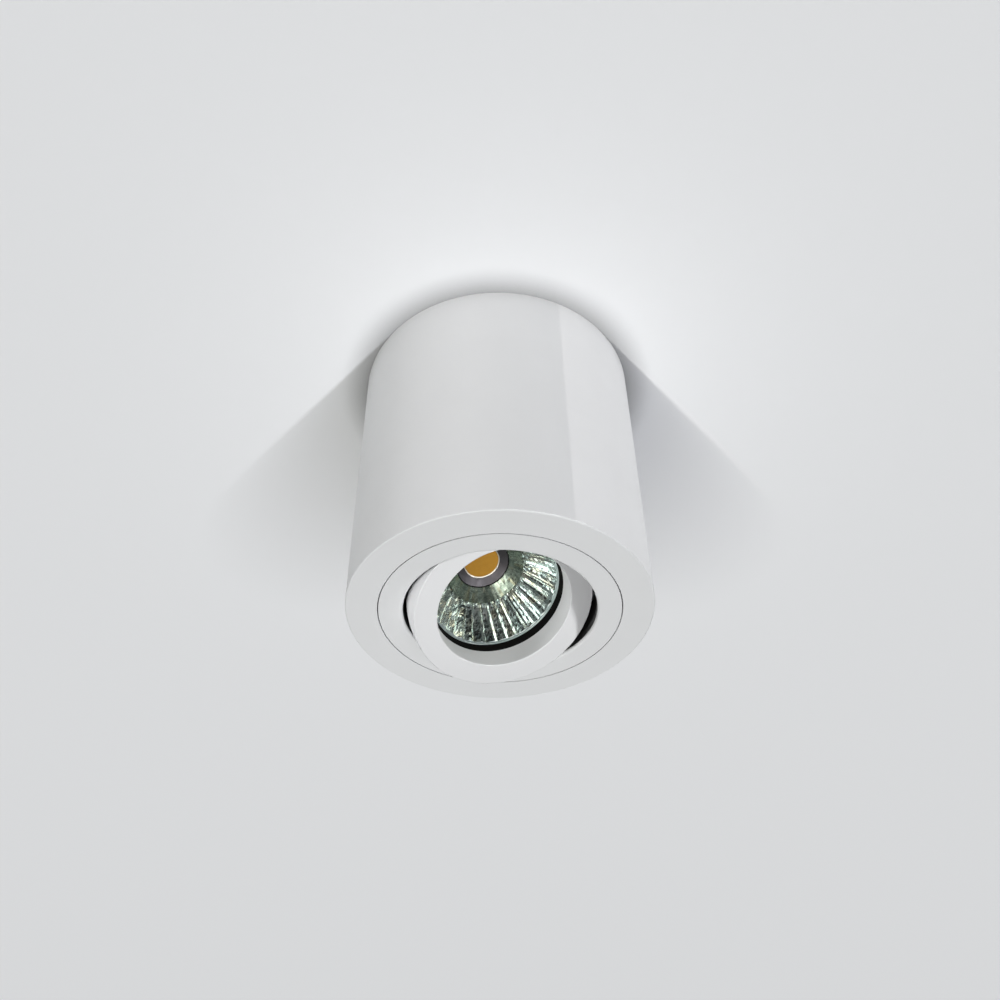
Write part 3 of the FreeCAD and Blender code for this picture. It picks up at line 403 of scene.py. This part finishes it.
def pleated_bowl(settings):
    """The pressed glass: pleated mirror inside, smooth outside, with its flat rim and its neck."""
    mesh = bmesh.new()
    steps = settings.pleats * len(PLEAT_PROFILE)
    step = 2 * math.pi / steps
    rows = [PLEAT_START * place / PLAIN_ROWS for place in range(PLAIN_ROWS)]
    rows += [PLEAT_START + (PLEAT_END - PLEAT_START) * place / PLEAT_ROWS for place in range(PLEAT_ROWS + 1)]
    rings = []
    for row, along in enumerate(rows):
        ring = []
        for column in range(steps):
            height, sway = pleat_height(settings.depth, row, column, along)
            ring.append(mesh.verts.new(bowl_point(along, (column + sway) * step, height)))
        rings.append(ring)
    for lower, upper in zip(rings, rings[1:]):
        ring_strip(mesh, lower, upper)
    before = rings[-1]
    for radius, depth in glass_outline():
        ring = [mesh.verts.new((radius * math.cos(column * step), radius * math.sin(column * step), depth))
                for column in range(steps)]
        ring_strip(mesh, before, ring, smooth=True)
        before = ring
    ring_strip(mesh, before, rings[0])
    bmesh.ops.recalc_face_normals(mesh, faces=mesh.faces)
    return mesh


# The coating's tints along a random pick from 0 to 1. A pick holds for half a pleat's width and a band of
# depth, and counts for its share beside the main tint.
COATING_TINTS = ((0.0, "#4E6260"), (0.25, "#8C9C99"), (0.5, "#B3BDBB"), (0.68, "#CAD3D2"), (0.8, "#8F8874"),
                 (0.9, "#BFB08C"), (1.0, "#E6EBEB"))
TINT_SHARE = 0.45
TINT_BAND = 2.6 * MM


def mirror_coating(settings):
    """Aluminium and oxide layers evaporated on pressed glass: a mirror whose facets differ in tint, from cool
    green to bronze, as the layers differ in thickness. A little of the light scatters in the glass."""
    material, tree, surface = new_material("mirror_coating", Metallic=0.9)
    spot = add_node(tree, "ShaderNodeSeparateXYZ", Vector=place_of(tree))
    turn = math_node(tree, "ARCTAN2", spot.outputs["Y"], spot.outputs["X"])
    column = math_node(tree, "FLOOR", math_node(tree, "MULTIPLY", turn, settings.pleats / math.pi))
    row = math_node(tree, "FLOOR", math_node(tree, "DIVIDE", spot.outputs["Z"], TINT_BAND))
    cell = add_node(tree, "ShaderNodeCombineXYZ", X=column, Y=row)
    pick = add_node(tree, "ShaderNodeTexWhiteNoise", {"noise_dimensions": "3D"},
                    Vector=cell.outputs["Vector"])
    ramp = add_node(tree, "ShaderNodeValToRGB", Fac=pick.outputs["Value"])
    stops = ramp.color_ramp.elements
    while len(stops) < len(COATING_TINTS):
        stops.new(0.5)
    for stop, (place, tint) in zip(stops, COATING_TINTS):
        stop.position = place
        stop.color = linear(tint)
    base = tuple(settings.tint) + (1.0,)
    colour = between(tree, TINT_SHARE, base, ramp.outputs["Color"])
    # The glass round the neck has no pleats and is duller.
    deep = math_node(tree, "GREATER_THAN", spot.outputs["Z"], bowl_point(PLEAT_START + 0.02, 0, 0).z)
    dull = between(tree, deep, colour, linear("#9CA399"), "MULTIPLY")
    tree.links.new(dull, surface.inputs["Base Color"])
    tree.links.new(math_node(tree, "ADD", span(tree, speckle(tree, 2 * MM), 0.04, 0.1), math_node(
        tree, "MULTIPLY", deep, 0.2)), surface.inputs["Roughness"])
    bump(tree, surface, speckle(tree, 0.7 * MM, 1.0), 0.01 * MM)
    return material


def pressed_glass():
    """Pressed soda glass seen over its mirror: a cool grey green edge with a glassy gloss."""
    material, tree, surface = new_material("pressed_glass", Metallic=0.0, IOR=1.52, Coat_Weight=0.6,
                                           Coat_Roughness=0.05)
    wear(tree, surface, linear("#8FA5A2"), linear("#C4D2D0"), 2.5 * MM, 0.08, 0.2)
    bump(tree, surface, speckle(tree, 0.8 * MM), 0.01 * MM)
    return material


# ---- operators ----


def make_object(name, mesh, materials, place=None):
    data = bpy.data.meshes.new(name)
    mesh.to_mesh(data)
    mesh.free()
    for material in materials:
        data.materials.append(material)
    thing = bpy.data.objects.new(name, data)
    bpy.context.scene.collection.objects.link(thing)
    if place is not None:
        thing.matrix_world = place
        bpy.context.view_layer.update()
    return thing


class SPOTLIGHT_OT_paint(bpy.types.Operator):
    """Powder coats the housing, the swivel ring and the tilt ring"""
    bl_idname = "spotlight.paint"
    bl_label = "Painted housing and rings"

    def execute(self, context):
        settings = context.scene.spotlight_paint
        paint = white_powder_coat(settings)
        dress(paint, "housing", "tilt_ring")
        dress(white_powder_coat(settings, shaded_hub=True), "swivel_ring")
        return {"FINISHED"}


class SPOTLIGHT_OT_reflector(bpy.types.Operator):
    """Builds the pleated glass reflector of the lamp"""
    bl_idname = "spotlight.reflector"
    bl_label = "Pleated reflector"

    def execute(self, context):
        settings = context.scene.spotlight_reflector
        bowl = make_object("pleated_reflector", pleated_bowl(settings),
                           (mirror_coating(settings), pressed_glass()), LAMP_FRAME)
        for face in bowl.data.polygons:
            face.material_index = 1 if face.use_smooth else 0
        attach(bowl, "tilt_body")
        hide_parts("lamp_reflector")
        return {"FINISHED"}


class SPOTLIGHT_OT_source(bpy.types.Operator):
    """Finishes the yellow emitter, its collar and the board and heat sink behind them"""
    bl_idname = "spotlight.source"
    bl_label = "Emitter and collar"

    def execute(self, context):
        settings = context.scene.spotlight_lamp
        # Phosphor in silicone over the chips: matt amber with a fine grain, a little paler where it is thin.
        phosphor, tree, surface = new_material("yellow_phosphor", Metallic=0.0, IOR=1.41)
        amber = tuple(settings.phosphor) + (1.0,)
        pale = tuple(min(1.0, part * 1.25) for part in settings.phosphor) + (1.0,)
        tree.links.new(between(tree, speckle(tree, 1.6 * MM, 4.0), amber, pale), surface.inputs["Base Color"])
        tree.links.new(span(tree, speckle(tree, 0.5 * MM), 0.3, 0.5), surface.inputs["Roughness"])
        bump(tree, surface, speckle(tree, 0.12 * MM), 0.01 * MM)
        dress(phosphor, "led_emitter")
        # Aluminium, turned: the collar is dark and dull with a painted highlight on its inner edge, the heat
        # sink pale.
        dress(turned_metal("turned_collar", "#545255", "#434144", 0.35 * MM, 0.42, 0.55, edge=COLLAR_HIGHLIGHT_RADIUS),
              "led_collar")
        dress(turned_metal("turned_aluminium", "#B5B7BA", "#97999C", 0.3 * MM, 0.3, 0.45), "lamp_heat_sink")
        # Glass cloth and epoxy under a green solder mask, with a low gloss.
        dress(moulded("circuit_board", "#1F5B3A", "#2B6B48", low=0.3, high=0.45), "led_board",
              "lamp_driver_board")
        return {"FINISHED"}


class SPOTLIGHT_OT_rubber(bpy.types.Operator):
    """Finishes the black gasket and the cable grommet"""
    bl_idname = "spotlight.rubber"
    bl_label = "Rubber parts"

    def execute(self, context):
        dress(black_silicone(), "lamp_gasket")
        dress(black_silicone("black_rubber", "#111112"), "cable_grommet")
        return {"FINISHED"}


class SPOTLIGHT_OT_lamp_back(bpy.types.Operator):
    """Finishes the lamp's cap, its pins and the lampholder"""
    bl_idname = "spotlight.lamp_back"
    bl_label = "Lamp base and lampholder"

    def execute(self, context):
        # PBT, injection moulded: warm white with a soft sheen.
        dress(moulded("white_pbt", "#DEDCD6", "#D2CFC8", ior=1.55), "lamp_base_cap")
        # Nickel plated brass and, for the rivets, tinned steel: a warm and a cool pale grey.
        dress(metal("nickel_pins", "#B9B4A8", "#9C978C", 0.2, 0.35), "lamp_pins", "lampholder_contacts")
        # Steatite, pressed and fired: off-white, dry, with fine dark specks.
        steatite = moulded("steatite", "#E2DACB", "#D3C9B8", ior=1.6, low=0.5, high=0.7, grain=0.4 * MM,
                           depth=0.02 * MM)
        dress(steatite, "lampholder_body", "lampholder_cover")
        dress(metal("plated_rivets", "#AEB1B5", "#8D9094", 0.25, 0.4), "lampholder_rivets")
        return {"FINISHED"}


class SPOTLIGHT_OT_fixings(bpy.types.Operator):
    """Finishes the screws, springs, pins and the clip"""
    bl_idname = "spotlight.fixings"
    bl_label = "Screws, springs and pins"

    def execute(self, context):
        # Zinc plated steel: cool pale grey with a soft gloss. The stamped washer is a little duller.
        zinc = metal("zinc_steel", "#A9ADB2", "#8C9096", 0.25, 0.42)
        dress(zinc, "housing_set_screws", "terminal_clamp_screws", "terminal_fixing_screws",
              "leaf_spring_screws", "pivot_pins")
        dress(metal("washer_steel", "#A3A7AC", "#84888E", 0.3, 0.45), "earth_washer")
        # Spring steel, rolled and tempered: darker and glossier.
        dress(metal("spring_steel", "#8E8F92", "#6F7074", 0.2, 0.38), "leaf_springs", "lamp_retaining_clip")
        # Brass, turned: a dull yellow.
        dress(metal("brass", "#B99A55", "#96793C", 0.25, 0.42), "terminal_inserts", "earth_screw")
        # Nylon, injection moulded and dyed black: a low sheen.
        dress(moulded("black_nylon", "#141415", "#1E1E20"), "pivot_bushes")
        return {"FINISHED"}


class SPOTLIGHT_OT_bracket(bpy.types.Operator):
    """Finishes the ceiling bracket and the terminal block"""
    bl_idname = "spotlight.bracket"
    bl_label = "Ceiling bracket"

    def execute(self, context):
        # Hot dip galvanised steel: large dull crystals, each turned its own way.
        zinc, tree, surface = new_material("galvanised_steel", Metallic=1.0)
        crystals = add_node(tree, "ShaderNodeTexVoronoi", {"Scale": 1.0 / (6 * MM)}, Vector=place_of(tree))
        shade = add_node(tree, "ShaderNodeSeparateColor", Color=crystals.outputs["Color"]).outputs[0]
        colour = between(tree, shade, linear("#A7ABAE"), linear("#B9BDC0"))
        tree.links.new(colour, surface.inputs["Base Color"])
        tree.links.new(span(tree, shade, 0.4, 0.5), surface.inputs["Roughness"])
        bump(tree, surface, speckle(tree, 0.5 * MM), 0.004 * MM)
        dress(zinc, "ceiling_bracket")
        # Polyamide, injection moulded without dye: milky and faintly yellow.
        dress(moulded("natural_polyamide", "#E6E1D3", "#D9D3C2", ior=1.53), "terminal_block")
        return {"FINISHED"}


# ---- studio ----

# The camera's place and turn were fitted to the outlines in the photograph.
CAMERA_PLACE = Vector((0.0, -0.29484, -0.33108))
CAMERA_PAN = 0.00192469
CAMERA_TILT = 0.7487983
CAMERA_ROLL = -0.0164797
CAMERA_LENS = 38.80
SENSOR = 36.0

# Two tall far lamps cast the housing's two shadows on the ceiling: (name, azimuth, share of the key level,
# colour). Azimuths, and heights above the ceiling's plane, are in degrees.
KEY_LAMPS = (("key_right", -46.7, 0.95, "#FAFBFF"), ("key_left", -130.4, 1.0, "#FFFFFA"))
KEY_HEIGHT = -63
KEY_DISTANCE = 20.0
KEY_SIZE = (0.4, 16.0)
# Lamps above the ceiling's plane light the housing's wall and top, and never the ceiling's lower side: (name,
# azimuth, height, width, length, level, colour).
FAR = 3.0
FILL_LAMPS = (("front_fill", -68, 12, 2.4, 1.0, 0.47, "#FFFBFA"),
              ("right_fill", 0, 8, 1.0, 1.0, 0.18, "#FFFFFF"),
              ("back_fill", 90, 30, 1.0, 1.6, 0.6, "#FFFFFF"),
              ("top_fill", 90, 89, 1.5, 1.5, 0.6, "#FFFFFF"))
# What shines in mirrors and gloss, and lights nothing else.
REFLECTED_LAMPS = (("reflected_softbox", -34, -36, 1.6, 1.4, 0.72, "#FFFFFF"),
                   ("reflected_window", -116, -46, 1.9, 1.8, 1.15, "#FFFAF2"))
# The tilt ring has its own lamps, as it stands in the mouth's shade: (name, azimuth, height, level).
RING_LAMPS = (("mouth_front", -120, -49, 0.50), ("mouth_right", -25, -37, 0.54),
              ("mouth_left", 178, -35, 0.24))
RING_MIDDLE = (4 * MM, -4 * MM, -106 * MM)
RING_DISTANCE = 0.6
RING_SIZE = 0.05
RING_CONE = math.radians(24.0)

# Painted contact shade: the ceiling's colour is darker within this reach of the housing, down to this part of
# its own colour.
CONTACT_SHADE_REACH = 14 * MM
CONTACT_SHADE_LEVEL = 0.3
# It is darkest where less than the first share of the ceiling's view is open, and plain above the second.
CONTACT_SHADE_SPAN = (0.42, 0.95)
# Soft light from below.
FLOOR_GLOW = 0.06


def aim(thing, target):
    thing.rotation_euler = (Vector(target) - thing.location).to_track_quat("-Z", "Y").to_euler()


def lamp_at(name, azimuth, height, distance, width, length, level, colour="#FFFFFF", target=(0, 0, -0.05),
            kind="AREA", **seen):
    """An area lamp or a spot at an azimuth and an angle above the ceiling's plane, turned to the object. Its
    length stands upright, and its level is what it adds to a white face that is turned to it."""
    light = bpy.data.lights.new(name, kind)
    light.energy = level * (math.pi * distance) ** 2
    if kind == "AREA":
        light.shape = "RECTANGLE"
        light.size = width
        light.size_y = length
    else:
        # A spot's power is counted for the whole sphere round it.
        light.energy *= 4
        light.shadow_soft_size = width
    light.color = linear(colour)[:3]
    thing = bpy.data.objects.new(name, light)
    bpy.context.scene.collection.objects.link(thing)
    across = distance * math.cos(math.radians(height))
    thing.location = (across * math.cos(math.radians(azimuth)), across * math.sin(math.radians(azimuth)),
                      distance * math.sin(math.radians(height)))
    aim(thing, target)
    for ray, shown in seen.items():
        setattr(thing, "visible_" + ray, shown)
    return thing


class SPOTLIGHT_OT_studio(bpy.types.Operator):
    """Adds the ceiling, the lamps, the pale surroundings and the photograph's camera"""
    bl_idname = "spotlight.studio"
    bl_label = "Ceiling, lamps and camera"

    def execute(self, context):
        scene = context.scene
        settings = scene.spotlight_studio
        mesh = bmesh.new()
        half = settings.ceiling_size / 2
        corners = [mesh.verts.new((x, y, 0.0)) for x, y in ((-half, half), (half, half), (half, -half),
                                                             (-half, -half))]
        mesh.faces.new(corners)
        ceiling = make_object("ceiling", mesh, (self.ceiling_paint(settings),))
        self.lamps(settings)
        self.surroundings(scene)
        self.camera(scene)
        scene.view_settings.view_transform = "Standard"
        return {"FINISHED"}

    def ceiling_paint(self, settings):
        """Matt wall paint with painted contact shade: its colour is darker close round the housing. From
        above it lets light and sight through.
        """
        material, tree, surface = new_material("matt_wall_paint_with_painted_shade", Metallic=0.0, Roughness=1.0, IOR=1.4,
                                               Specular_IOR_Level=0.0)
        close = add_node(tree, "ShaderNodeAmbientOcclusion", {"Distance": CONTACT_SHADE_REACH, "samples": 16})
        colour = tuple(settings.ceiling) + (1.0,)
        dark = tuple(part * CONTACT_SHADE_LEVEL for part in settings.ceiling) + (1.0,)
        # Painted shade: ambient occlusion darkens the ceiling's colour round the housing.
        reach = span(tree, close.outputs["AO"], 0.0, 1.0, *CONTACT_SHADE_SPAN)
        tree.links.new(between(tree, reach, dark, colour), surface.inputs["Base Color"])
        output = next(node for node in tree.nodes if node.type == "OUTPUT_MATERIAL")
        behind = add_node(tree, "ShaderNodeNewGeometry").outputs["Backfacing"]
        shadow = add_node(tree, "ShaderNodeLightPath").outputs["Is Shadow Ray"]
        through = math_node(tree, "MAXIMUM", behind, shadow)
        clear = add_node(tree, "ShaderNodeBsdfTransparent")
        mixed = add_node(tree, "ShaderNodeMixShader", _0=through, _1=surface.outputs["BSDF"],
                         _2=clear.outputs["BSDF"])
        tree.links.new(mixed.outputs["Shader"], output.inputs["Surface"])
        return material

    def lamps(self, settings):
        for name, azimuth, share, colour in KEY_LAMPS:
            level = share * settings.key_level
            key = lamp_at(name, azimuth, KEY_HEIGHT, KEY_DISTANCE, *KEY_SIZE, level, colour, target=(0, 0, 0),
                          glossy=False)
            self.link(key, "EXCLUDE")
        for name, azimuth, height, width, length, level, colour in FILL_LAMPS:
            lamp_at(name, azimuth, height, FAR, width, length, level, colour)
        for name, azimuth, height, width, length, level, colour in REFLECTED_LAMPS:
            lamp_at(name, azimuth, height, FAR, width, length, level, colour, diffuse=False)
        for name, azimuth, height, level in RING_LAMPS:
            lamp = lamp_at(name, azimuth, height, RING_DISTANCE, RING_SIZE, RING_SIZE, level,
                           target=RING_MIDDLE, kind="SPOT", glossy=False)
            lamp.data.spot_size = RING_CONE
            lamp.data.spot_blend = 1.0
            self.link(lamp, "INCLUDE")

    def link(self, lamp, state):
        """Keeps a lamp off the tilt ring, or for the tilt ring alone."""
        group = bpy.data.collections.new(lamp.name + "_receivers")
        group.objects.link(NODES["tilt_ring"])
        lamp.light_linking.receiver_collection = group
        group.collection_objects[0].light_linking.link_state = state

    def surroundings(self, scene):
        """Pale where it is seen straight or in a mirror. Its own soft light comes from below only."""
        world = scene.world or bpy.data.worlds.new("surroundings")
        scene.world = world
        world.use_nodes = True
        tree = world.node_tree
        tree.nodes.clear()
        path = add_node(tree, "ShaderNodeLightPath").outputs
        seen = math_node(tree, "MAXIMUM", path["Is Camera Ray"], math_node(
            tree, "MAXIMUM", path["Is Glossy Ray"], path["Is Transmission Ray"]))
        way = add_node(tree, "ShaderNodeTexCoord").outputs["Generated"]
        up = add_node(tree, "ShaderNodeSeparateXYZ", Vector=way).outputs["Z"]
        below = math_node(tree, "LESS_THAN", up, 0.0)
        glow = math_node(tree, "MULTIPLY", below, FLOOR_GLOW)
        lit = add_node(tree, "ShaderNodeBackground", {"Color": linear("#FFFFFF")}, Strength=glow)
        pale = add_node(tree, "ShaderNodeBackground", {"Color": linear("#E2E3E5"), "Strength": 1.0})
        mixed = add_node(tree, "ShaderNodeMixShader", _0=seen, _1=lit.outputs[0], _2=pale.outputs[0])
        output = add_node(tree, "ShaderNodeOutputWorld")
        tree.links.new(mixed.outputs["Shader"], output.inputs["Surface"])

    def camera(self, scene):
        data = bpy.data.cameras.new("photograph")
        data.sensor_width = SENSOR
        data.lens = CAMERA_LENS
        data.clip_start = 0.01
        thing = bpy.data.objects.new("photograph", data)
        scene.collection.objects.link(thing)
        forward = Vector((math.sin(CAMERA_PAN) * math.cos(CAMERA_TILT),
                          math.cos(CAMERA_PAN) * math.cos(CAMERA_TILT), math.sin(CAMERA_TILT)))
        level = Vector((math.cos(CAMERA_PAN), -math.sin(CAMERA_PAN), 0.0))
        upright = level.cross(forward)
        across = level * math.cos(CAMERA_ROLL) + upright * math.sin(CAMERA_ROLL)
        up = upright * math.cos(CAMERA_ROLL) - level * math.sin(CAMERA_ROLL)
        thing.matrix_world = Matrix.Translation(CAMERA_PLACE) @ Matrix(
            (across, up, -forward)).transposed().to_4x4()
        scene.camera = thing


class SPOTLIGHT_PT_sidebar(bpy.types.Panel):
    """Lists the steps that dress the spotlight"""
    bl_idname = "SPOTLIGHT_PT_sidebar"
    bl_label = "Ceiling spotlight"
    bl_space_type = "VIEW_3D"
    bl_region_type = "UI"
    bl_category = "Spotlight"

    def draw(self, context):
        for group, _ in SETTINGS:
            settings = getattr(context.scene, group)
            for name in settings.__annotations__:
                self.layout.prop(settings, name)
        for step in STEPS:
            self.layout.operator(step.bl_idname, text=step.bl_label)


SETTINGS = (("spotlight_paint", PaintSettings), ("spotlight_reflector", ReflectorSettings),
            ("spotlight_lamp", LampSettings), ("spotlight_studio", StudioSettings))
STEPS = (SPOTLIGHT_OT_paint, SPOTLIGHT_OT_reflector, SPOTLIGHT_OT_source, SPOTLIGHT_OT_rubber,
         SPOTLIGHT_OT_lamp_back, SPOTLIGHT_OT_fixings, SPOTLIGHT_OT_bracket, SPOTLIGHT_OT_studio)


def register():
    for group, settings in SETTINGS:
        bpy.utils.register_class(settings)
        setattr(bpy.types.Scene, group, bpy.props.PointerProperty(type=settings))
    for step in STEPS + (SPOTLIGHT_PT_sidebar,):
        bpy.utils.register_class(step)


def unregister():
    for step in reversed(STEPS + (SPOTLIGHT_PT_sidebar,)):
        bpy.utils.unregister_class(step)
    for group, settings in reversed(SETTINGS):
        delattr(bpy.types.Scene, group)
        bpy.utils.unregister_class(settings)


def main():
    register()
    for step in STEPS:
        family, name = step.bl_idname.split(".")
        getattr(getattr(bpy.ops, family), name)()


if __name__ == "__main__":
    main()
